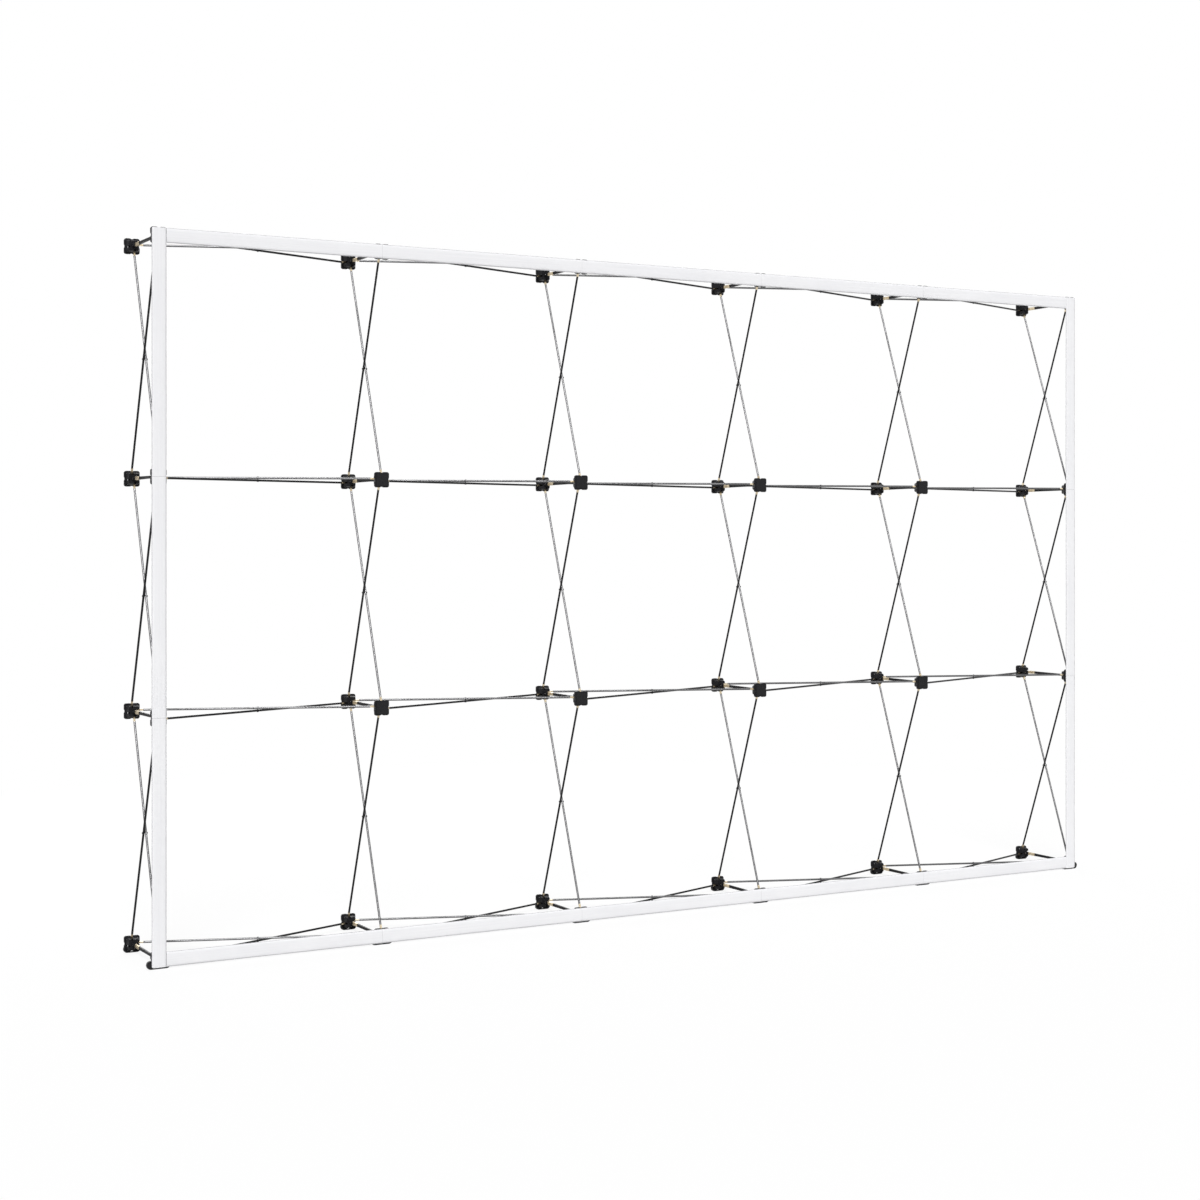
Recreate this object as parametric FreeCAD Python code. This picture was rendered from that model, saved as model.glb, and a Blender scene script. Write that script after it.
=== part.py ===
import FreeCAD, Part
import math
import os

# A straight pop-up display wall: two grids of hubs, joined by crossing pairs of
# rods in rows and in columns, with a lock arm from each back hub to the front hub
# opposite it and a white band round the front.  Millimetres.  +X runs along the
# wall, +Y from front to back and +Z up.  The origin is on the floor, under the
# middle of the wall.

# Grid of hubs
COLUMNS = 6
ROW_NAMES = ("bottom", "lower", "upper", "top")
BAY_NAMES = ("lower", "middle", "upper")
PITCH_X = 740.0
PITCH_Z = 740.0
PIVOT_DEPTH = 260.0

# Hub
PLATE_SIDE = 50.0
PLATE_THICK = 8.0
PLATE_CORNER = 7.0
PLATE_EDGE = 1.5
SCALLOP_RADIUS = 9.0
SCALLOP_DEPTH = 2.2
SCALLOP_EASE = 2.0
CORE_SIDE_AT_PLATE = 42.0
CORE_SIDE_AT_TOP = 33.0
CORE_CORNER = 5.0
CORE_DEPTH = 22.0
PIVOT_HEIGHT = 8.0
PIVOT_RADIUS = 15.5
SLOT_FLOOR = 2.5
SLOT_SIDE_CLEARANCE = 0.3
SLOT_END_CLEARANCE = 0.8

# Rods, their ends and their rivets
ROD_DIAMETER = 7.0
ROD_WALL = 0.8
CROSSING_GAP = 0.8
TANG_LENGTH = 18.0
TANG_THICK = 5.0
SPIGOT_LENGTH = 14.0
RIVET_DIAMETER = 3.0
RIVET_HEAD_DIAMETER = 6.0
RIVET_HEAD_THICK = 1.2

# Pins and the clearance round them
PIVOT_PIN_DIAMETER = 3.0
PIVOT_PIN_INNER_END = 6.0
PIVOT_PIN_RECESS = 0.6
PIN_CLEARANCE = 0.05

# Lock arm and its clevis
EAR_RADIUS = 5.0
EAR_THICK = 3.0
EAR_PIN_OFFSET = 8.0
LOCK_PIN_DIAMETER = 4.0
ARM_THICK = 6.0
ARM_SIDE_CLEARANCE = 0.3
ARM_EYE_RADIUS = 5.2
HOOK_OVER_PIN = 2.2
HOOK_UNDER_PIN = 3.3
HOOK_NOSE = 3.2
HOOK_CLEARANCE = 0.3
ARM_PANEL_DEPTH = 1.2
ARM_PANEL_RIM = 2.0
ARM_PANEL_END_GAP = 6.0

# Band round the front, and the pads that hold it
PAD_SIDE = 40.0
PAD_THICK = 1.5
STRIP_WIDTH = 46.0
STRIP_THICK = 2.0
STRIP_SEAM = 0.4

# Feet
FOOT_THICK = 3.0
FOOT_DEPTH = 12.0
FOOT_CLEARANCE = 0.1
FOOT_EDGE = 0.8
FOOT_SEAT_CORNER = 6.0
FRONT_FOOT_RADIUS = 13.0
FRONT_FOOT_REACH = 12.0
BACK_FOOT_RADIUS = 11.0
BACK_FOOT_REACH = 2.0

# Worked out from the driving dimensions
ROWS = len(ROW_NAMES)
ROD_OFFSET = (ROD_DIAMETER + CROSSING_GAP) / 2
PLATE_FACE = PIVOT_HEIGHT + PLATE_THICK
CORE_TOP = CORE_DEPTH - PIVOT_HEIGHT
LOCK_PIN_Y = CORE_TOP + EAR_PIN_OFFSET
LOCK_SPAN = PIVOT_DEPTH - 2 * LOCK_PIN_Y
EAR_INSIDE = ARM_THICK / 2 + ARM_SIDE_CLEARANCE
BAND_STACK = PAD_THICK + STRIP_THICK
MIDDLE_Y = BAND_STACK / 2
FRONT_Y = MIDDLE_Y - PIVOT_DEPTH / 2
BACK_Y = MIDDLE_Y + PIVOT_DEPTH / 2
BOTTOM_Z = FOOT_THICK + PLATE_SIDE / 2
COLUMN_X = [(c - (COLUMNS - 1) / 2) * PITCH_X for c in range(COLUMNS)]
ROW_Z = [BOTTOM_Z + r * PITCH_Z for r in range(ROWS)]

AXIS_Y = FreeCAD.Vector(0, 1, 0)
AXIS_Z = FreeCAD.Vector(0, 0, 1)

# How far a cutting shape runs past what it cuts
MARGIN = 1.0


def vec(x, y, z):
    return FreeCAD.Vector(x, y, z)


def turned(shape, axis, degrees):
    turn = FreeCAD.Placement(vec(0, 0, 0), FreeCAD.Rotation(axis, degrees))
    return shape.transformed(turn.toMatrix(), True)


def moved(shape, x, y, z):
    return shape.transformed(FreeCAD.Placement(vec(x, y, z), FreeCAD.Rotation()).toMatrix(), True)


def box(x0, x1, y0, y1, z0, z1):
    return Part.makeBox(x1 - x0, y1 - y0, z1 - z0, vec(x0, y0, z0))


def cylinder(diameter, start, end):
    run = end - start
    return Part.makeCylinder(diameter / 2, run.Length, start, run)


def rounded_square(side, corner, y):
    """A square wire with round corners, across Y at the height y."""
    h = side / 2
    k = h - corner
    m = h - corner * (1 - math.sqrt(0.5))
    edges = []
    for step in range(4):
        turn = FreeCAD.Rotation(AXIS_Y, -90 * step)
        flat = [turn.multVec(vec(h, y, z)) for z in (-k, k)]
        bend = [turn.multVec(p) for p in (vec(h, y, k), vec(m, y, m), vec(k, y, h))]
        edges.append(Part.LineSegment(*flat).toShape())
        edges.append(Part.Arc(*bend).toShape())
    return Part.Wire(edges)


def hub_plate():
    """The outer plate of a hub: a square with a scallop in the middle of each side."""
    outline = Part.Face(rounded_square(PLATE_SIDE, PLATE_CORNER, -PLATE_FACE))
    plate = outline.extrude(vec(0, PLATE_THICK, 0))
    axis_x = PLATE_SIDE / 2 - SCALLOP_DEPTH + SCALLOP_RADIUS
    scallop = cylinder(
        2 * SCALLOP_RADIUS,
        vec(axis_x, -PLATE_FACE - MARGIN, 0),
        vec(axis_x, -PIVOT_HEIGHT + MARGIN, 0),
    )
    plate = plate.cut([turned(scallop, AXIS_Y, 90 * step) for step in range(4)])
    plate = plate.makeFillet(SCALLOP_EASE, [e for e in plate.Edges if is_scallop_corner(e)])
    face_edges = [e for e in plate.Edges if e.BoundBox.YMax < -PLATE_FACE + MARGIN / 2]
    return plate.makeFillet(PLATE_EDGE, face_edges)


def is_scallop_corner(edge):
    """Whether an edge of a plate runs through it where a scallop meets a side."""
    middle = edge.CenterOfMass
    near, far = sorted((abs(middle.x), abs(middle.z)))
    on_side = far > PLATE_SIDE / 2 - MARGIN / 2
    return edge.BoundBox.YLength > PLATE_THICK / 2 and on_side and near < SCALLOP_RADIUS


def hub():
    """One hub with its pivot plane at y = 0, its plate towards -Y and its clevis towards +Y."""
    core = Part.makeLoft(
        [
            rounded_square(CORE_SIDE_AT_PLATE, CORE_CORNER, -PIVOT_HEIGHT),
            rounded_square(CORE_SIDE_AT_TOP, CORE_CORNER, CORE_TOP),
        ],
        True,
        True,
    )
    ears = []
    for side in (-1, 1):
        x0, x1 = sorted((side * EAR_INSIDE, side * (EAR_INSIDE + EAR_THICK)))
        ears.append(box(x0, x1, CORE_TOP, LOCK_PIN_Y, -EAR_RADIUS, EAR_RADIUS))
        ears.append(cylinder(2 * EAR_RADIUS, vec(x0, LOCK_PIN_Y, 0), vec(x1, LOCK_PIN_Y, 0)))
    body = hub_plate().multiFuse([core] + ears)

    slot_half = TANG_THICK / 2 + SLOT_SIDE_CLEARANCE
    slot_end = PIVOT_RADIUS - ROD_DIAMETER / 2 - SLOT_END_CLEARANCE
    slot = box(
        slot_end,
        PLATE_SIDE,
        SLOT_FLOOR - PIVOT_HEIGHT,
        CORE_TOP + MARGIN,
        -ROD_OFFSET - slot_half,
        -ROD_OFFSET + slot_half,
    )
    pin_hole = cylinder(
        PIVOT_PIN_DIAMETER + 2 * PIN_CLEARANCE,
        vec(PIVOT_RADIUS, 0, -PLATE_SIDE),
        vec(PIVOT_RADIUS, 0, PIVOT_PIN_INNER_END),
    )
    lock_hole = cylinder(
        LOCK_PIN_DIAMETER + 2 * PIN_CLEARANCE,
        lock_pin_end(-PLATE_SIDE),
        lock_pin_end(PLATE_SIDE),
    )
    cuts = [lock_hole]
    for step in range(4):
        cuts.append(turned(slot, AXIS_Y, -90 * step))
        cuts.append(turned(pin_hole, AXIS_Y, -90 * step))
    return body.cut(cuts).removeSplitter()


def lock_pin_end(x):
    return vec(x, LOCK_PIN_Y, 0)


def lock_pin():
    half = EAR_INSIDE + EAR_THICK
    return cylinder(LOCK_PIN_DIAMETER, lock_pin_end(-half), lock_pin_end(half))


def pivot_pins():
    """The four pins of one hub, each put in from one side of the core."""
    taper = (CORE_SIDE_AT_PLATE - CORE_SIDE_AT_TOP) / 2 * PIVOT_HEIGHT / CORE_DEPTH
    outer_end = CORE_SIDE_AT_PLATE / 2 - taper - PIVOT_PIN_RECESS
    pin = cylinder(
        PIVOT_PIN_DIAMETER,
        vec(PIVOT_RADIUS, 0, -outer_end),
        vec(PIVOT_RADIUS, 0, PIVOT_PIN_INNER_END),
    )
    return [turned(pin, AXIS_Y, -90 * step) for step in range(4)]


def rod_tube(length):
    """A tube centred on the origin along X, drilled along Z for its rivet."""
    half = length / 2 - TANG_LENGTH
    ends = vec(-half, 0, 0), vec(half, 0, 0)
    past = vec(-half - MARGIN, 0, 0), vec(half + MARGIN, 0, 0)
    outer = cylinder(ROD_DIAMETER, *ends)
    bore = cylinder(ROD_DIAMETER - 2 * ROD_WALL, *past)
    hole = cylinder(
        RIVET_DIAMETER + 2 * PIN_CLEARANCE,
        vec(0, 0, -ROD_DIAMETER),
        vec(0, 0, ROD_DIAMETER),
    )
    return outer.cut([bore, hole])


def rod_end():
    """A flat tang with its pivot at the origin, and the spigot that plugs into the tube along +X."""
    flat = TANG_THICK / 2
    tang = box(0, TANG_LENGTH, -ROD_DIAMETER / 2, ROD_DIAMETER / 2, -flat, flat)
    nose = cylinder(ROD_DIAMETER, vec(0, 0, -flat), vec(0, 0, flat))
    spigot = cylinder(
        ROD_DIAMETER - 2 * ROD_WALL - 2 * PIN_CLEARANCE,
        vec(TANG_LENGTH, 0, 0),
        vec(TANG_LENGTH + SPIGOT_LENGTH, 0, 0),
    )
    eye = cylinder(
        PIVOT_PIN_DIAMETER + 2 * PIN_CLEARANCE,
        vec(0, 0, -TANG_THICK),
        vec(0, 0, TANG_THICK),
    )
    return tang.multiFuse([nose, spigot]).removeSplitter().cut(eye)


def rivet():
    """A headed rivet on the Z axis, through a pair of rods that cross at the origin."""
    reach = ROD_OFFSET + ROD_DIAMETER / 2
    tip = reach + RIVET_HEAD_THICK
    shank = cylinder(RIVET_DIAMETER, vec(0, 0, -reach), vec(0, 0, reach))
    upper_head = cylinder(RIVET_HEAD_DIAMETER, vec(0, 0, reach), vec(0, 0, tip))
    lower_head = cylinder(RIVET_HEAD_DIAMETER, vec(0, 0, -tip), vec(0, 0, -reach))
    return shank.multiFuse([upper_head, lower_head]).removeSplitter()


def bay_pair(pitch):
    """The crossing pair of one bay, along X and centred on the origin: tubes, ends and rivet."""
    span = pitch - 2 * PIVOT_RADIUS
    length = math.hypot(span, PIVOT_DEPTH)
    slope = math.degrees(math.atan2(PIVOT_DEPTH, span))
    tube = rod_tube(length)
    near_end = moved(rod_end(), -length / 2, 0, 0)
    far_end = turned(near_end, AXIS_Z, 180)
    level = (tube, near_end, far_end)
    pair = {"rivet": [rivet()]}
    for kind, side in (("rearward", -1), ("forward", 1)):
        sloped = [turned(s, AXIS_Z, -side * slope) for s in level]
        laid = [moved(s, 0, 0, side * ROD_OFFSET) for s in sloped]
        pair[kind] = laid[:1]
        pair[kind + "_ends"] = laid[1:]
    return pair


def lock_arm():
    """A tapered arm along Y, with its eye at the origin and its hook over the pin at y = -LOCK_SPAN."""
    half = ARM_THICK / 2
    pin_room = LOCK_PIN_DIAMETER / 2 + HOOK_CLEARANCE
    top = pin_room + HOOK_OVER_PIN
    low = -HOOK_UNDER_PIN
    nose = -LOCK_SPAN - pin_room - HOOK_NOSE
    heel = -LOCK_SPAN + pin_room + HOOK_NOSE
    outline = [
        vec(-half, 0, ARM_EYE_RADIUS),
        vec(-half, heel, top),
        vec(-half, nose, top),
        vec(-half, nose, low),
        vec(-half, heel, low),
        vec(-half, 0, -ARM_EYE_RADIUS),
    ]
    blank = Part.Face(Part.makePolygon(outline + outline[:1])).extrude(vec(ARM_THICK, 0, 0))
    end_edges = [e for e in blank.Edges if e.BoundBox.YMax < nose + MARGIN / 2]
    cross_edges = [e for e in end_edges if e.BoundBox.XLength > half]
    blank = blank.makeFillet(HOOK_NOSE / 2, cross_edges)
    eye = cylinder(2 * ARM_EYE_RADIUS, vec(-half, 0, 0), vec(half, 0, 0))
    bore = cylinder(
        LOCK_PIN_DIAMETER + 2 * PIN_CLEARANCE,
        vec(-ARM_THICK, 0, 0),
        vec(ARM_THICK, 0, 0),
    )
    notch = cylinder(2 * pin_room, vec(-ARM_THICK, -LOCK_SPAN, 0), vec(ARM_THICK, -LOCK_SPAN, 0))
    mouth = box(
        -ARM_THICK,
        ARM_THICK,
        -LOCK_SPAN - pin_room,
        -LOCK_SPAN + pin_room,
        low - MARGIN,
        0,
    )
    cuts = [bore, notch, mouth] + arm_panels(heel, top, low)
    return blank.fuse(eye).cut(cuts).removeSplitter()


def arm_panels(heel, top, low):
    """The sunk panels in the two sides of a lock arm, which leave a rim all round."""
    start = -ARM_EYE_RADIUS - ARM_PANEL_END_GAP
    end = heel + ARM_PANEL_END_GAP
    rise = (top - ARM_EYE_RADIUS) / heel
    fall = (low + ARM_EYE_RADIUS) / heel
    outline = [
        (start, ARM_EYE_RADIUS + rise * start - ARM_PANEL_RIM),
        (end, ARM_EYE_RADIUS + rise * end - ARM_PANEL_RIM),
        (end, -ARM_EYE_RADIUS + fall * end + ARM_PANEL_RIM),
        (start, -ARM_EYE_RADIUS + fall * start + ARM_PANEL_RIM),
    ]
    panels = []
    for side in (-1, 1):
        x = side * ARM_THICK / 2
        points = [vec(x, y, z) for y, z in outline]
        face = Part.Face(Part.makePolygon(points + points[:1]))
        panels.append(face.extrude(vec(-side * ARM_PANEL_DEPTH, 0, 0)))
    return panels


def foot(radius, reach):
    """A boot standing on z = 0: a bar whose round ends reach past a plate, less the seat of the plate."""
    seat_half = PLATE_SIDE / 2 + FOOT_CLEARANCE
    axis_x = seat_half + reach - radius
    back = FOOT_DEPTH - PLATE_FACE
    round_ends = [
        cylinder(2 * radius, vec(x, -PLATE_FACE, radius), vec(x, back, radius))
        for x in (-axis_x, axis_x)
    ]
    bar = box(-axis_x, axis_x, -PLATE_FACE, back, 0, 2 * radius).multiFuse(round_ends).removeSplitter()
    bar = bar.makeFillet(FOOT_EDGE, [e for e in bar.Edges if e.BoundBox.YLength < MARGIN / 2])
    seat = Part.Face(rounded_square(2 * seat_half, FOOT_SEAT_CORNER, -PLATE_FACE - MARGIN))
    hollow = seat.extrude(vec(0, FOOT_DEPTH + 2 * MARGIN, 0))
    return bar.cut(moved(hollow, 0, 0, FOOT_THICK + seat_half))


def pad():
    """The square of hook tape on a front hub's plate."""
    half = PAD_SIDE / 2
    return box(-half, half, -PLATE_FACE - PAD_THICK, -PLATE_FACE, -half, half)


def strip(x0, x1, z0, z1):
    face = FRONT_Y - PLATE_FACE - PAD_THICK
    return box(x0, x1, face - STRIP_THICK, face, z0, z1)


def edge_strips():
    """The four sides of the band, each in lengths that meet at the hubs."""
    half = STRIP_WIDTH / 2
    gap = STRIP_SEAM / 2
    seams_z = [ROW_Z[0] - half - gap] + ROW_Z[1:-1] + [ROW_Z[-1] + half + gap]
    seams_x = [COLUMN_X[0] + half + gap] + COLUMN_X[1:-1] + [COLUMN_X[-1] - half - gap]
    sides = {}
    for name, x in (("left", COLUMN_X[0]), ("right", COLUMN_X[-1])):
        sides[name] = [strip(x - half, x + half, a + gap, b - gap) for a, b in zip(seams_z, seams_z[1:])]
    for name, z in (("bottom", ROW_Z[0]), ("top", ROW_Z[-1])):
        sides[name] = [strip(a + gap, b - gap, z - half, z + half) for a, b in zip(seams_x, seams_x[1:])]
    return sides


def front_place(shape, x, z):
    return moved(shape, x, FRONT_Y, z)


def back_place(shape, x, z):
    return moved(turned(shape, AXIS_Z, 180), x, BACK_Y, z)


def save(name, solids):
    Part.makeCompound(solids).exportStep("parts/" + name + ".step")


def save_hubs_and_locks():
    one_hub = hub()
    one_lock_pin = lock_pin()
    one_arm = lock_arm()
    one_set_of_pins = pivot_pins()
    one_pad = pad()
    front_pins = []
    back_pins = []
    hinge_pins = []
    catch_pins = []
    pads = []
    for row, z in zip(ROW_NAMES, ROW_Z):
        save("front_hubs_" + row, [front_place(one_hub, x, z) for x in COLUMN_X])
        save("back_hubs_" + row, [back_place(one_hub, x, z) for x in COLUMN_X])
        for column, x in enumerate(COLUMN_X, 1):
            front_pins += [front_place(pin, x, z) for pin in one_set_of_pins]
            back_pins += [back_place(pin, x, z) for pin in one_set_of_pins]
            catch_pins.append(front_place(one_lock_pin, x, z))
            hinge_pins.append(back_place(one_lock_pin, x, z))
            pads.append(front_place(one_pad, x, z))
            save("lock_arm_%s_%d" % (row, column), [moved(one_arm, x, BACK_Y - LOCK_PIN_Y, z)])
    save("pivot_pins_front", front_pins)
    save("pivot_pins_back", back_pins)
    save("lock_catch_pins", catch_pins)
    save("lock_hinge_pins", hinge_pins)
    save("hook_pads", pads)
    front_foot = foot(FRONT_FOOT_RADIUS, FRONT_FOOT_REACH)
    back_foot = foot(BACK_FOOT_RADIUS, BACK_FOOT_REACH)
    feet = [front_place(front_foot, x, 0) for x in COLUMN_X]
    feet += [back_place(back_foot, x, 0) for x in COLUMN_X]
    save("feet", feet)


def save_row_rods():
    pair = bay_pair(PITCH_X)
    ends = []
    rivets = []
    for row, z in zip(ROW_NAMES, ROW_Z):
        laid = {kind: [] for kind in pair}
        for x in COLUMN_X[:-1]:
            for kind, solids in pair.items():
                laid[kind] += [moved(s, x + PITCH_X / 2, MIDDLE_Y, z) for s in solids]
        save("row_rods_rearward_" + row, laid["rearward"])
        save("row_rods_forward_" + row, laid["forward"])
        ends += laid["rearward_ends"] + laid["forward_ends"]
        rivets += laid["rivet"]
    save("rod_ends_in_rows", ends)
    save("crossing_rivets_in_rows", rivets)


def save_column_rods():
    lying = bay_pair(PITCH_Z)
    pair = {kind: [turned(s, AXIS_Y, -90) for s in solids] for kind, solids in lying.items()}
    ends = []
    rivets = []
    for bay, z in zip(BAY_NAMES, ROW_Z):
        laid = {kind: [] for kind in pair}
        for x in COLUMN_X:
            for kind, solids in pair.items():
                laid[kind] += [moved(s, x, MIDDLE_Y, z + PITCH_Z / 2) for s in solids]
        save("column_rods_rearward_" + bay, laid["rearward"])
        save("column_rods_forward_" + bay, laid["forward"])
        ends += laid["rearward_ends"] + laid["forward_ends"]
        rivets += laid["rivet"]
    save("rod_ends_in_columns", ends)
    save("crossing_rivets_in_columns", rivets)


def save_band():
    for name, lengths in edge_strips().items():
        save("edge_strip_" + name, lengths)


os.makedirs("parts", exist_ok=True)
save_hubs_and_locks()
save_row_rods()
save_column_rods()
save_band()
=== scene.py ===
import math

import bmesh
import bpy
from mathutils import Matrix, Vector, noise


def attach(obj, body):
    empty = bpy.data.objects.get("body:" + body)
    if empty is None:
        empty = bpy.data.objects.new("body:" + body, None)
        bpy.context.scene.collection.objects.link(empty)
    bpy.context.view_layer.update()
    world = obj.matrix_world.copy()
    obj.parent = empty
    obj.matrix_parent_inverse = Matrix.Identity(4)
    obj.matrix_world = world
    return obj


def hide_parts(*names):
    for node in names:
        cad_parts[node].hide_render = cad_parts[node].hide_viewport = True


# Lengths are in metres, and grains in waves per metre

# Camera, with its yaw in degrees and its lens and sensor in millimetres
CAMERA_PLACE = (-3.697, -6.136, 1.335)
CAMERA_YAW = 29.57
CAMERA_LENS = 60.0
CAMERA_SENSOR = 36.0
CAMERA_SHIFT = -0.0558
CAMERA_SIGHT = 200.0

# Lamps and sky, with the key's width in degrees
KEY_FROM = (-0.35, -0.7, 0.62)
KEY_STRENGTH = 3.3
KEY_WIDTH = 26.0
SUN_AWAY = 8.0
SOFT_BOX = (6.0, 3.5)
FRONT_PLACE = (2.0, -7.5, 1.2)
FRONT_AIM = (0.4, 0.0, 1.0)
FRONT_WATTS = 45.0
BACK_PLACE = (1.0, 7.0, 3.0)
BACK_AIM = (0.0, 0.0, 1.1)
BACK_WATTS = 260.0
SKY_LOW = 0.12
SKY_HIGH = 0.38
SKY_LOW_Z = -0.1
SKY_HIGH_Z = 0.9

# Floor
FLOOR_SIZE = 80.0
FLOOR_LIT = (0.9, 0.9, 0.9, 1.0)
FLOOR_BOUNCE = (0.3, 0.3, 0.3, 1.0)
WHITE = (1.0, 1.0, 1.0, 1.0)
SHADOW_SHARE = 0.16
SHADOW_NEAR = 2.0
SHADOW_FAR = 4.5

# Hubs
BAY = 0.740
FIRST_ROW_Z = 0.028
ROW_NAMES = ("bottom", "lower", "upper", "top")
COLUMNS = 6
ROW_Z = [FIRST_ROW_Z + BAY * i for i in range(len(ROW_NAMES))]
COLUMN_X = [BAY * (i - (COLUMNS - 1) / 2) for i in range(COLUMNS)]

# Rods, from a pin in one hub to a pin in the next
PIVOT_RADIUS = 0.0155
PIVOT_DEPTH = 0.260
ROD_SLOPE = math.atan2(PIVOT_DEPTH, BAY - 2 * PIVOT_RADIUS)

# Band of loop tape
TAPE_WIDTH = 0.046
TAPE_BACK_Y = -0.14575
SEAM = 0.0004
STATION = 0.008
CORNER_ROUND = 0.005
CORNER_STEPS = 6

# Half of the tape's section: how far in from its edge, and how thick it is there
HALF_SECTION = (
    (0.0000, 0.0009),
    (0.0019, 0.0010),
    (0.0024, 0.0016),
    (0.0034, 0.0019),
    (0.0090, 0.0020),
    (0.0160, 0.0021),
)
PILE_START = 0.0018
PILE_THICK = 0.0012
PILE_SLOT = 0
SELVEDGE_SLOT = 1
BACK_SLOT = 2

# Unevenness of the tape: its bow between the hubs, its edges and its pile
HELD_END = 0.024
HELD_EASE = 0.12
BOW = 0.0011
BOW_WAVES = 2.1
BOW_SEED = 7.3
BOW_LAYER = 0.5
EDGE_WANDER = 0.00018
EDGE_WAVES = 11.0
EDGE_SEED = 3.1
EDGE_LAYER = 4.0
PILE_WANDER = 0.00012
PILE_WAVES = 130.0
PILE_CROSS_WAVES = 300.0
PILE_SEED = 1.7
COLUMN_SEED = 11
ROW_SEED = 5

# Lock arms: their size at the hinge, and the slopes of their upper and lower edges
HINGE_Y = 0.10975
ARM_HALF_THICK = 0.0030
ARM_HALF_HEIGHT = 0.0052
ARM_TAPER_ABOVE = 0.0033
ARM_TAPER_BELOW = 0.0090

# Sleeve on each lock arm, measured from the hinge
SLEEVE_START = 0.014
SLEEVE_END = 0.05
SLEEVE_WALL = 0.0005
SLEEVE_CORNER = 0.0009

# Shading of the meshes, with creases in degrees
WELD_GAP = 0.00001
SOLID_CREASE = 32.0
TAPE_CREASE = 60.0
EDGE_SAMPLES = 6
EDGE_WORN = 0.75
EDGE_PLAIN = 0.99

# Colours, from dark to light
HUB_BLACKS = (0.006, 0.006, 0.007), (0.016, 0.016, 0.018)
HUB_WORN = (0.09, 0.09, 0.092)
ARM_BLACKS = (0.008, 0.008, 0.009), (0.02, 0.02, 0.022)
ARM_WORN = (0.07, 0.07, 0.07)
# Hook tape blacks: the darker is painted shade between the hooks, the lighter a painted highlight on them
HOOK_BLACKS = (0.008, 0.008, 0.009), (0.035, 0.035, 0.037)
RUBBER_BLACKS = (0.008, 0.008, 0.009), (0.022, 0.022, 0.023)
RUBBER_DUSTS = (0.012, 0.012, 0.013), (0.045, 0.045, 0.045)
PALE_BRASSES = (0.42, 0.33, 0.2), (0.72, 0.63, 0.46)
BRIGHT_STEELS = (0.38, 0.38, 0.39), (0.6, 0.6, 0.61)
DARK_STEELS = (0.05, 0.05, 0.052), (0.13, 0.13, 0.135)
# Rod greys are painted light on one metal: the dark pair is painted shade, the light pair a painted
# highlight
SHADED_ROD_GREYS = (0.015, 0.015, 0.016), (0.03, 0.03, 0.031)
LIT_ROD_GREYS = (0.075, 0.075, 0.077), (0.15, 0.15, 0.153)
PILE_STREAKS = (0.78, 0.78, 0.8), (0.86, 0.86, 0.875)
PILE_CLOUDS = (0.79, 0.79, 0.815), (0.86, 0.86, 0.87)
# The woven selvedge is real, but its grey, far below the pile's white, is painted shade along the tape's
# edges
SELVEDGE_SHADE_GREYS = (0.46, 0.46, 0.475), (0.62, 0.62, 0.635)
BACKING_WHITES = (0.7, 0.7, 0.715), (0.82, 0.82, 0.83)


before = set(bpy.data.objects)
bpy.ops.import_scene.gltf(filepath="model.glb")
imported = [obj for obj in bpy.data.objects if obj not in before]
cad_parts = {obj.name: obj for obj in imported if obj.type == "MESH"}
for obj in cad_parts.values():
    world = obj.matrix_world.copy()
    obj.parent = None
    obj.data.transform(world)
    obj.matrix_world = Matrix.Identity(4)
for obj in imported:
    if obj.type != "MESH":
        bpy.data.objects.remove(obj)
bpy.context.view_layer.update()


# Shader helpers

def new_material(name):
    """An empty material, its node tree and its one shader."""
    made = bpy.data.materials.new(name)
    made.use_nodes = True
    tree = made.node_tree
    tree.nodes.clear()
    output = tree.nodes.new("ShaderNodeOutputMaterial")
    shader = tree.nodes.new("ShaderNodeBsdfPrincipled")
    tree.links.new(shader.outputs["BSDF"], output.inputs["Surface"])
    return made, tree, shader


def even(waves):
    """The same grain along each axis."""
    return waves, waves, waves


def place(tree, scale, turn=(0.0, 0.0, 0.0)):
    """Object coordinates, turned and then stretched."""
    where = tree.nodes.new("ShaderNodeTexCoord")
    spin = tree.nodes.new("ShaderNodeMapping")
    spin.inputs["Rotation"].default_value = turn
    stretch = tree.nodes.new("ShaderNodeMapping")
    stretch.inputs["Scale"].default_value = scale
    tree.links.new(where.outputs["Object"], spin.inputs["Vector"])
    tree.links.new(spin.outputs["Vector"], stretch.inputs["Vector"])
    return stretch.outputs["Vector"]


def grain(tree, scale, turn=(0.0, 0.0, 0.0), detail=3.0, rough=0.55):
    """Noise, finer along the axes with the larger scales."""
    made = tree.nodes.new("ShaderNodeTexNoise")
    made.inputs["Scale"].default_value = 1.0
    made.inputs["Detail"].default_value = detail
    made.inputs["Roughness"].default_value = rough
    tree.links.new(place(tree, scale, turn), made.inputs["Vector"])
    return made.outputs["Fac"]


def cells(tree, scale, randomness=1.0):
    """How far each point lies from the middle of its cell."""
    made = tree.nodes.new("ShaderNodeTexVoronoi")
    made.inputs["Scale"].default_value = 1.0
    made.inputs["Randomness"].default_value = randomness
    tree.links.new(place(tree, scale), made.inputs["Vector"])
    return made.outputs["Distance"]


def spread(tree, value, low, high, start=0.3, end=0.7):
    """A value from start to end, laid out from low to high."""
    made = tree.nodes.new("ShaderNodeMapRange")
    made.inputs["From Min"].default_value = start
    made.inputs["From Max"].default_value = end
    made.inputs["To Min"].default_value = low
    made.inputs["To Max"].default_value = high
    tree.links.new(value, made.inputs["Value"])
    return made.outputs["Result"]


def mixed_colours(tree):
    """A colour mix node, its two colour inputs and its colour output."""
    made = tree.nodes.new("ShaderNodeMix")
    made.data_type = "RGBA"
    first, second = [s for s in made.inputs if s.type == "RGBA"]
    result = next(s for s in made.outputs if s.type == "RGBA")
    return made, first, second, result


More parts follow.
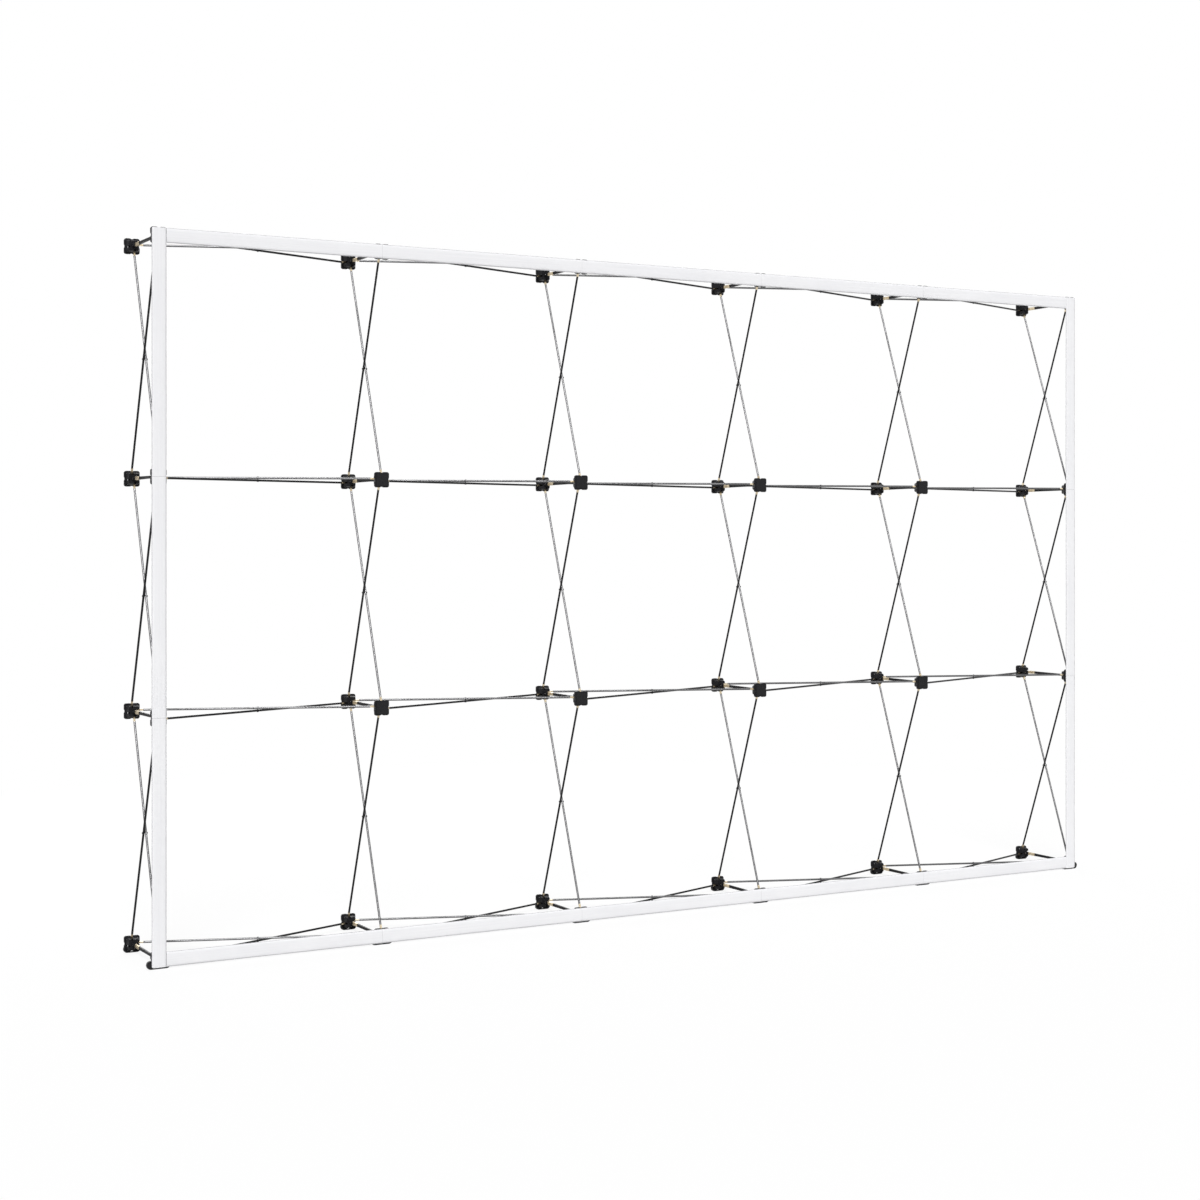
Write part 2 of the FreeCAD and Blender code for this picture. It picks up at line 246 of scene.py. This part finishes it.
def tint(tree, value, dark, light, start=0.3, end=0.7):
    """A colour between dark and light, by a value from start to end."""
    made, first, second, result = mixed_colours(tree)
    first.default_value = (*dark, 1.0)
    second.default_value = (*light, 1.0)
    tree.links.new(spread(tree, value, 0.0, 1.0, start, end), made.inputs["Factor"])
    return result


def blend(tree, value, one, other):
    """Two colour outputs, mixed by a value or by a fixed share."""
    made, first, second, result = mixed_colours(tree)
    if isinstance(value, float):
        made.inputs["Factor"].default_value = value
    else:
        tree.links.new(value, made.inputs["Factor"])
    tree.links.new(one, first)
    tree.links.new(other, second)
    return result


def worn_edges(tree, radius):
    """The normal with its edges eased, and a mask that is 1 at the sharpest edges."""
    eased_edge = tree.nodes.new("ShaderNodeBevel")
    eased_edge.samples = EDGE_SAMPLES
    eased_edge.inputs["Radius"].default_value = radius
    flat = tree.nodes.new("ShaderNodeNewGeometry")
    facing = tree.nodes.new("ShaderNodeVectorMath")
    facing.operation = "DOT_PRODUCT"
    tree.links.new(eased_edge.outputs["Normal"], facing.inputs[0])
    tree.links.new(flat.outputs["Normal"], facing.inputs[1])
    mask = spread(tree, facing.outputs["Value"], 1.0, 0.0, EDGE_WORN, EDGE_PLAIN)
    return eased_edge.outputs["Normal"], mask


def bump(tree, shader, height, depth, strength, normal=None):
    """Gives the shader a fine relief, over the plain normal or another one."""
    made = tree.nodes.new("ShaderNodeBump")
    made.inputs["Distance"].default_value = depth
    made.inputs["Strength"].default_value = strength
    tree.links.new(height, made.inputs["Height"])
    if normal is not None:
        tree.links.new(normal, made.inputs["Normal"])
    tree.links.new(made.outputs["Normal"], shader.inputs["Normal"])


# Materials

def moulded_plastic(name, dark, light, worn, rough):
    """Black moulded plastic: a fine spark grain, cloudy gloss and paler worn edges."""
    made, tree, shader = new_material(name)
    shader.inputs["Specular IOR Level"].default_value = 0.09
    normal, edge = worn_edges(tree, radius=0.0008)
    body = tint(tree, grain(tree, even(14.0)), dark, light)
    scuffed = tint(tree, grain(tree, even(160.0)), dark, worn)
    tree.links.new(blend(tree, edge, body, scuffed), shader.inputs["Base Color"])
    gloss = spread(tree, grain(tree, even(45.0)), low=rough - 0.07, high=rough + 0.09)
    tree.links.new(gloss, shader.inputs["Roughness"])
    spark = grain(tree, even(1600.0), detail=1.0)
    bump(tree, shader, spark, depth=0.0001, strength=0.35, normal=normal)
    return made


def drawn_metal(name, dark, light, rough, turn):
    """Drawn tube: fine streaks along the rod, cloudy oxide and a soft shine."""
    made, tree, shader = new_material(name)
    shader.inputs["Metallic"].default_value = 1.0
    streak = grain(tree, (3.0, 900.0, 900.0), turn, detail=4.0)
    cloud = grain(tree, (9.0, 60.0, 60.0), turn)
    body = tint(tree, streak, dark, light)
    dull = tint(tree, cloud, dark, light)
    dull_share = 0.45
    tree.links.new(blend(tree, dull_share, body, dull), shader.inputs["Base Color"])
    gloss = spread(tree, cloud, low=rough - 0.06, high=rough + 0.1)
    tree.links.new(gloss, shader.inputs["Roughness"])
    bump(tree, shader, streak, depth=0.00005, strength=0.25)
    return made


def plain_metal(name, dark, light, rough):
    """Turned or stamped metal with a cloudy surface and small marks."""
    made, tree, shader = new_material(name)
    shader.inputs["Metallic"].default_value = 1.0
    normal, edge = worn_edges(tree, radius=0.0003)
    body = tint(tree, grain(tree, even(60.0), detail=5.0), dark, light)
    bright = tint(tree, grain(tree, even(400.0)), dark, light, start=0.1, end=0.5)
    tree.links.new(blend(tree, edge, body, bright), shader.inputs["Base Color"])
    gloss = spread(tree, grain(tree, even(220.0)), low=rough - 0.06, high=rough + 0.1)
    tree.links.new(gloss, shader.inputs["Roughness"])
    bump(tree, shader, grain(tree, even(900.0)), depth=0.00005, strength=0.3, normal=normal)
    return made


def hook_tape():
    """Black hook tape: rows of fine stiff hooks, with painted shade between them and a painted highlight
    at their middles.
    """
    made, tree, shader = new_material("hook_tape_black")
    shader.inputs["Roughness"].default_value = 0.6
    shader.inputs["Specular IOR Level"].default_value = 0.15
    hooks = cells(tree, even(620.0), randomness=0.35)
    shaded_valley, lit_tip = HOOK_BLACKS
    # Painted light: darker black between the hook cells as painted shade, lighter at their middles as a
    # painted highlight
    body = tint(tree, hooks, lit_tip, shaded_valley, start=0.1, end=0.6)
    tree.links.new(body, shader.inputs["Base Color"])
    bump(tree, shader, hooks, depth=0.0006, strength=0.8)
    return made


def rubber():
    """Black rubber: matt, with a faint bloom and a fine grain."""
    made, tree, shader = new_material("foot_rubber_black")
    shader.inputs["Specular IOR Level"].default_value = 0.14
    normal, edge = worn_edges(tree, radius=0.001)
    body = tint(tree, grain(tree, even(35.0), detail=4.0), *RUBBER_BLACKS)
    dusty = tint(tree, grain(tree, even(200.0)), *RUBBER_DUSTS)
    tree.links.new(blend(tree, edge, body, dusty), shader.inputs["Base Color"])
    gloss = spread(tree, grain(tree, even(90.0)), low=0.3, high=0.5)
    tree.links.new(gloss, shader.inputs["Roughness"])
    bump(tree, shader, grain(tree, even(1200.0)), depth=0.0001, strength=0.4, normal=normal)
    return made


def loop_pile(name, stretch):
    """White loop pile: tiny loops, streaks along the tape and a slight greying."""
    made, tree, shader = new_material(name)
    shader.inputs["Roughness"].default_value = 0.9
    shader.inputs["Sheen Weight"].default_value = 0.12
    streak = tint(tree, grain(tree, stretch, detail=4.0), *PILE_STREAKS)
    cloud = tint(tree, grain(tree, even(5.0)), *PILE_CLOUDS)
    cloud_share = 0.4
    tree.links.new(blend(tree, cloud_share, streak, cloud), shader.inputs["Base Color"])
    bump(tree, shader, cells(tree, even(1500.0)), depth=0.0004, strength=0.55)
    return made


def weave(name, stretch, dark, light):
    """The flat woven parts of the tape, with fine cross ribs."""
    made, tree, shader = new_material(name)
    shader.inputs["Roughness"].default_value = 0.85
    ribs = grain(tree, stretch, detail=2.0)
    tree.links.new(tint(tree, ribs, dark, light), shader.inputs["Base Color"])
    bump(tree, shader, ribs, depth=0.0002, strength=0.6)
    return made


hub_black = moulded_plastic("hub_plastic_black", *HUB_BLACKS, worn=HUB_WORN, rough=0.42)
arm_black = moulded_plastic("arm_plastic_black", *ARM_BLACKS, worn=ARM_WORN, rough=0.46)
brass = plain_metal("rod_end_pale_brass", *PALE_BRASSES, rough=0.32)
steel = plain_metal("pin_steel_bright", *BRIGHT_STEELS, rough=0.3)
dark_steel = plain_metal("rivet_steel_dark", *DARK_STEELS, rough=0.4)
hook_black = hook_tape()
foot_black = rubber()
pile = {
    "x": loop_pile("loop_pile_along_rows", (3.0, 420.0, 420.0)),
    "z": loop_pile("loop_pile_along_columns", (420.0, 420.0, 3.0)),
}
ribs_along = {"x": (1100.0, 60.0, 60.0), "z": (60.0, 60.0, 1100.0)}
# The selvedge weave's grey is painted shade along the tape's edges
shaded_selvedge = {run: weave("shaded_selvedge_along_" + run, ribs_along[run], *SELVEDGE_SHADE_GREYS) for run in ribs_along}
backing = {run: weave("tape_backing_along_" + run, ribs_along[run], *BACKING_WHITES) for run in ribs_along}

# Each kind of rod: its two greys, and the turn that lays the streaks along it
# All rods are one metal: the light greys are a painted highlight on the rods whose slope faces the key
# lamp, and the dark greys are painted shade on the rest
ROD_KINDS = {
    "row_rods_rearward": (SHADED_ROD_GREYS, (0.0, 0.0, -ROD_SLOPE)),
    "row_rods_forward": (LIT_ROD_GREYS, (0.0, 0.0, ROD_SLOPE)),
    "column_rods_rearward": (LIT_ROD_GREYS, (ROD_SLOPE, math.pi / 2, 0.0)),
    "column_rods_forward": (SHADED_ROD_GREYS, (-ROD_SLOPE, math.pi / 2, 0.0)),
}
rods = {
    kind: drawn_metal(kind + "_grey_metal", *greys, rough=0.26, turn=turn)
    for kind, (greys, turn) in ROD_KINDS.items()
}

# Materials by the start of a node's name
FINISHES = {
    "front_hubs": hub_black,
    "back_hubs": hub_black,
    "lock_arm": arm_black,
    "rod_ends": brass,
    "pivot_pins": steel,
    "lock_hinge_pins": steel,
    "lock_catch_pins": steel,
    "crossing_rivets": dark_steel,
    "hook_pads": hook_black,
    "feet": foot_black,
    "edge_strip_left": pile["z"],
    "edge_strip_right": pile["z"],
    "edge_strip_bottom": pile["x"],
    "edge_strip_top": pile["x"],
    **rods,
}


def split_edges(made, degrees):
    """Keeps the edges that turn by more than some degrees sharp."""
    split = made.modifiers.new("split", "EDGE_SPLIT")
    split.split_angle = math.radians(degrees)


def finish_nodes():
    """Gives every CAD node its material and smooth shading."""
    for name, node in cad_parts.items():
        finish = next(m for start, m in FINISHES.items() if name.startswith(start))
        node.data.materials.clear()
        node.data.materials.append(finish)
        for face in node.data.polygons:
            face.use_smooth = True
        weld = node.modifiers.new("weld", "WELD")
        weld.merge_threshold = WELD_GAP
        split_edges(node, SOLID_CREASE)


# The band

def tape_section():
    """The closed section of the tape: points of (across, thickness), and the material of each side.
    The last side is the tape's back."""
    half = TAPE_WIDTH / 2
    left = [(inward - half, thick) for inward, thick in HALF_SECTION]
    right = [(half - inward, thick) for inward, thick in reversed(HALF_SECTION)]
    points = [(-half, 0.0), *left, *right, (half, 0.0)]
    reaches = [max(abs(a[0]), abs(b[0])) for a, b in zip(points, points[1:])]
    kinds = [PILE_SLOT if reach < half - PILE_START else SELVEDGE_SLOT for reach in reaches]
    return points, kinds + [BACK_SLOT]


def eased(value):
    """A share from 0 to 1 that starts and ends gently."""
    value = min(1.0, max(0.0, value))
    return value * value * (3 - 2 * value)


def inset(distance):
    """How far a rounded corner draws the edge in, at a distance from the end."""
    short = CORNER_ROUND - min(max(distance, 0.0), CORNER_ROUND)
    return CORNER_ROUND - math.sqrt(max(0.0, CORNER_ROUND**2 - short**2))


def stations(length, round_start, round_end):
    """Distances along a tape: even steps, with closer ones round a rounded corner."""
    count = max(2, round(length / STATION))
    places = {length * i / count for i in range(count + 1)}
    turns = [math.pi / 2 * k / CORNER_STEPS for k in range(1, CORNER_STEPS + 1)]
    corner = [CORNER_ROUND * (1 - math.cos(turn)) for turn in turns]
    if round_start:
        places.update(corner)
    if round_end:
        places.update(length - away for away in corner)
    return sorted(places)


def wander(x, y, z):
    """Smooth noise, from -1 to 1."""
    return noise.noise(Vector((x, y, z)))


def tape_points(section, places, length, seed, round_start, round_end):
    """The points of a tape: how far along and across it, and how far in front of the hook pads."""
    points = []
    for along in places:
        held = eased((min(along, length - along) - HELD_END) / HELD_EASE)
        bow = BOW * held * wander(seed * BOW_SEED, along * BOW_WAVES, BOW_LAYER)
        for across, thick in section:
            side = 1 if across > 0 else -1
            draw = inset(along) * (side == round_start) + inset(length - along) * (side == round_end)
            lean = EDGE_WANDER * wander(along * EDGE_WAVES, seed * EDGE_SEED, side * EDGE_LAYER)
            rough = PILE_WANDER * wander(along * PILE_WAVES, across * PILE_CROSS_WAVES, seed * PILE_SEED)
            proud = bow + thick + (rough if thick > PILE_THICK else 0.0)
            points.append((along, across - side * draw + lean, proud))
    return points


def tape_faces(count, kinds):
    """The two ends of a tape and the faces between its stations, and the material of each."""
    size = len(kinds)
    faces = [list(range(size))[::-1], [count * size + k for k in range(size)]]
    slots = [SELVEDGE_SLOT, SELVEDGE_SLOT]
    for i in range(count):
        for k in range(size):
            n = (k + 1) % size
            faces.append([i * size + k, i * size + n, (i + 1) * size + n, (i + 1) * size + k])
            slots.append(kinds[k])
    return faces, slots


def tape(name, node, run, start, end, middle, seed, round_start=0, round_end=0):
    """One length of tape, along run at the height or place called middle.
    A rounded end is -1 or 1, for the side of the tape whose corner is round."""
    section, kinds = tape_section()
    length = end - start
    places = stations(length, round_start, round_end)
    points = tape_points(section, places, length, seed, round_start, round_end)
    faces, slots = tape_faces(len(places) - 1, kinds)
    if run == "x":
        verts = [(start + along, TAPE_BACK_Y - proud, middle + across) for along, across, proud in points]
        faces = [face[::-1] for face in faces]
    else:
        verts = [(middle + across, TAPE_BACK_Y - proud, start + along) for along, across, proud in points]
    mesh = bpy.data.meshes.new(name)
    mesh.from_pydata(verts, [], faces)
    for material in (pile[run], shaded_selvedge[run], backing[run]):
        mesh.materials.append(material)
    mesh.polygons.foreach_set("material_index", slots)
    mesh.polygons.foreach_set("use_smooth", [True] * len(faces))
    mesh.update()
    made = bpy.data.objects.new(name, mesh)
    bpy.context.scene.collection.objects.link(made)
    split_edges(made, TAPE_CREASE)
    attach(made, "frame")
    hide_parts(node)


def lay_band():
    """The side tapes from bottom to top, and the bottom and top tapes between them."""
    half = TAPE_WIDTH / 2
    gap = SEAM / 2
    seams_z = [ROW_Z[0] - half - gap, *ROW_Z[1:-1], ROW_Z[-1] + half + gap]
    seams_x = [COLUMN_X[0] + half + gap, *COLUMN_X[1:-1], COLUMN_X[-1] - half - gap]
    for name, x, outer in (("left", COLUMN_X[0], -1), ("right", COLUMN_X[-1], 1)):
        node = "edge_strip_" + name
        for i, (a, b) in enumerate(zip(seams_z, seams_z[1:])):
            first = outer if i == 0 else 0
            last = outer if i == len(seams_z) - 2 else 0
            seed = i + COLUMN_SEED * x
            tape(f"tape_{name}_{i + 1}", node, "z", a + gap, b - gap, x, seed, first, last)
    for name, z in (("bottom", ROW_Z[0]), ("top", ROW_Z[-1])):
        node = "edge_strip_" + name
        for i, (a, b) in enumerate(zip(seams_x, seams_x[1:])):
            seed = i + ROW_SEED * z
            tape(f"tape_{name}_{i + 1}", node, "x", a + gap, b - gap, z, seed)


# The sleeves

def sleeve_ring(away, grow):
    """Points round a lock arm at a distance from its hinge, outside its faces by a little."""
    side = ARM_HALF_THICK + grow
    top = ARM_HALF_HEIGHT - ARM_TAPER_ABOVE * away + grow
    low = ARM_TAPER_BELOW * away - ARM_HALF_HEIGHT - grow
    near = side - SLEEVE_CORNER
    over = low + SLEEVE_CORNER
    under = top - SLEEVE_CORNER
    right = [(side, over), (side, under), (near, top)]
    left = [(-near, top), (-side, under), (-side, over)]
    return right + left + [(-near, low), (near, low)]


def sleeve(name, body, x, z):
    """A short sleeve round a lock arm, close by its hinge, with its ends drawn in."""
    rings = [
        [(x + across, HINGE_Y - away, z + up) for across, up in sleeve_ring(away, grow)]
        for away, grow in (
            (SLEEVE_START, -SLEEVE_WALL / 2),
            (SLEEVE_START + SLEEVE_WALL, SLEEVE_WALL),
            (SLEEVE_END - SLEEVE_WALL, SLEEVE_WALL),
            (SLEEVE_END, -SLEEVE_WALL / 2),
        )
    ]
    verts = [point for ring in rings for point in ring]
    size = len(rings[0])
    last = len(verts) - size
    faces = [list(range(size)), list(range(last, last + size))]
    for first in range(0, last, size):
        for k in range(size):
            n = (k + 1) % size
            faces.append([first + k, first + n, first + size + n, first + size + k])
    mesh = bpy.data.meshes.new(name)
    mesh.from_pydata(verts, [], faces)
    shape = bmesh.new()
    shape.from_mesh(mesh)
    bmesh.ops.recalc_face_normals(shape, faces=shape.faces)
    shape.to_mesh(mesh)
    shape.free()
    mesh.materials.append(brass)
    made = bpy.data.objects.new(name, mesh)
    bpy.context.scene.collection.objects.link(made)
    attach(made, body)


def fit_sleeves():
    """A sleeve for every lock arm."""
    for row, z in zip(ROW_NAMES, ROW_Z):
        for column, x in enumerate(COLUMN_X, 1):
            sleeve(f"arm_sleeve_{row}_{column}", f"lock_arm_{row}_{column}", x, z)


# Stage

def seen_rays(tree):
    """1 for a ray that shows the background: from the camera, a reflection or glass."""
    path = tree.nodes.new("ShaderNodeLightPath")
    shown = path.outputs["Is Camera Ray"]
    for kind in ("Is Glossy Ray", "Is Transmission Ray"):
        most = tree.nodes.new("ShaderNodeMath")
        most.operation = "MAXIMUM"
        tree.links.new(shown, most.inputs[0])
        tree.links.new(path.outputs[kind], most.inputs[1])
        shown = most.outputs["Value"]
    return shown


def mixed_shaders(tree, share, first, second):
    """Two shaders, with a share of the second."""
    made = tree.nodes.new("ShaderNodeMixShader")
    tree.links.new(share, made.inputs["Fac"])
    tree.links.new(first, made.inputs[1])
    tree.links.new(second, made.inputs[2])
    return made.outputs["Shader"]


def matt(tree, colour):
    """A dull surface of one colour."""
    made = tree.nodes.new("ShaderNodeBsdfDiffuse")
    made.inputs["Color"].default_value = colour
    return made.outputs["BSDF"]


def floor_white():
    """White where it is seen, partly lit and shaded near the object, and grey to what it lights."""
    made = bpy.data.materials.new("floor_white")
    made.use_nodes = True
    tree = made.node_tree
    tree.nodes.clear()
    output = tree.nodes.new("ShaderNodeOutputMaterial")
    glow = tree.nodes.new("ShaderNodeEmission")
    glow.inputs["Color"].default_value = WHITE
    glow.inputs["Strength"].default_value = 1.0
    where = tree.nodes.new("ShaderNodeTexCoord")
    away = tree.nodes.new("ShaderNodeVectorMath")
    away.operation = "LENGTH"
    tree.links.new(where.outputs["Object"], away.inputs[0])
    share = spread(tree, away.outputs["Value"], SHADOW_SHARE, 0.0, SHADOW_NEAR, SHADOW_FAR)
    seen = mixed_shaders(tree, share, glow.outputs["Emission"], matt(tree, FLOOR_LIT))
    both = mixed_shaders(tree, seen_rays(tree), matt(tree, FLOOR_BOUNCE), seen)
    tree.links.new(both, output.inputs["Surface"])
    return made


def white_floor():
    """A wide plane under the feet."""
    bpy.ops.mesh.primitive_plane_add(size=FLOOR_SIZE, location=(0.0, 0.0, 0.0))
    floor = bpy.context.object
    floor.name = "floor"
    floor.data.materials.append(floor_white())


def white_world():
    """White behind the object, and a soft sky that is bright overhead and grey low down."""
    world = bpy.data.worlds.new("studio")
    bpy.context.scene.world = world
    world.use_nodes = True
    tree = world.node_tree
    tree.nodes.clear()
    output = tree.nodes.new("ShaderNodeOutputWorld")
    where = tree.nodes.new("ShaderNodeTexCoord")
    parts = tree.nodes.new("ShaderNodeSeparateXYZ")
    tree.links.new(where.outputs["Generated"], parts.inputs["Vector"])
    level = spread(tree, parts.outputs["Z"], SKY_LOW, SKY_HIGH, SKY_LOW_Z, SKY_HIGH_Z)
    sky = tree.nodes.new("ShaderNodeBackground")
    sky.inputs["Color"].default_value = WHITE
    tree.links.new(level, sky.inputs["Strength"])
    white = tree.nodes.new("ShaderNodeBackground")
    white.inputs["Color"].default_value = WHITE
    white.inputs["Strength"].default_value = 1.0
    both = mixed_shaders(tree, seen_rays(tree), sky.outputs["Background"], white.outputs["Background"])
    tree.links.new(both, output.inputs["Surface"])


def hang(name, lamp, place_at, facing):
    """Puts a lamp in its place and turns it."""
    made = bpy.data.objects.new(name, lamp)
    made.location = place_at
    made.rotation_euler = facing.to_track_quat("-Z", "Y").to_euler()
    bpy.context.scene.collection.objects.link(made)


def soft_light(name, place_at, aim, watts):
    """A large soft box."""
    lamp = bpy.data.lights.new(name, "AREA")
    lamp.shape = "RECTANGLE"
    lamp.size, lamp.size_y = SOFT_BOX
    lamp.energy = watts
    hang(name, lamp, place_at, Vector(aim) - Vector(place_at))


def soft_sun(name, towards, strength, degrees):
    """An even light from far away, as wide as a large soft box."""
    lamp = bpy.data.lights.new(name, "SUN")
    lamp.energy = strength
    lamp.angle = math.radians(degrees)
    hang(name, lamp, Vector(towards) * SUN_AWAY, -Vector(towards))


def look():
    """A level camera, shifted so that what is upright stays upright."""
    lens = bpy.data.cameras.new("camera")
    lens.lens = CAMERA_LENS
    lens.sensor_width = CAMERA_SENSOR
    lens.shift_y = CAMERA_SHIFT
    lens.clip_end = CAMERA_SIGHT
    eye = bpy.data.objects.new("camera", lens)
    eye.location = CAMERA_PLACE
    eye.rotation_euler = (math.pi / 2, 0.0, -math.radians(CAMERA_YAW))
    bpy.context.scene.collection.objects.link(eye)
    bpy.context.scene.camera = eye


lay_band()
fit_sleeves()
white_floor()
finish_nodes()
white_world()
soft_sun("key", KEY_FROM, KEY_STRENGTH, KEY_WIDTH)
soft_light("front", FRONT_PLACE, FRONT_AIM, FRONT_WATTS)
soft_light("back", BACK_PLACE, BACK_AIM, BACK_WATTS)
look()
bpy.context.scene.view_settings.view_transform = "Standard"
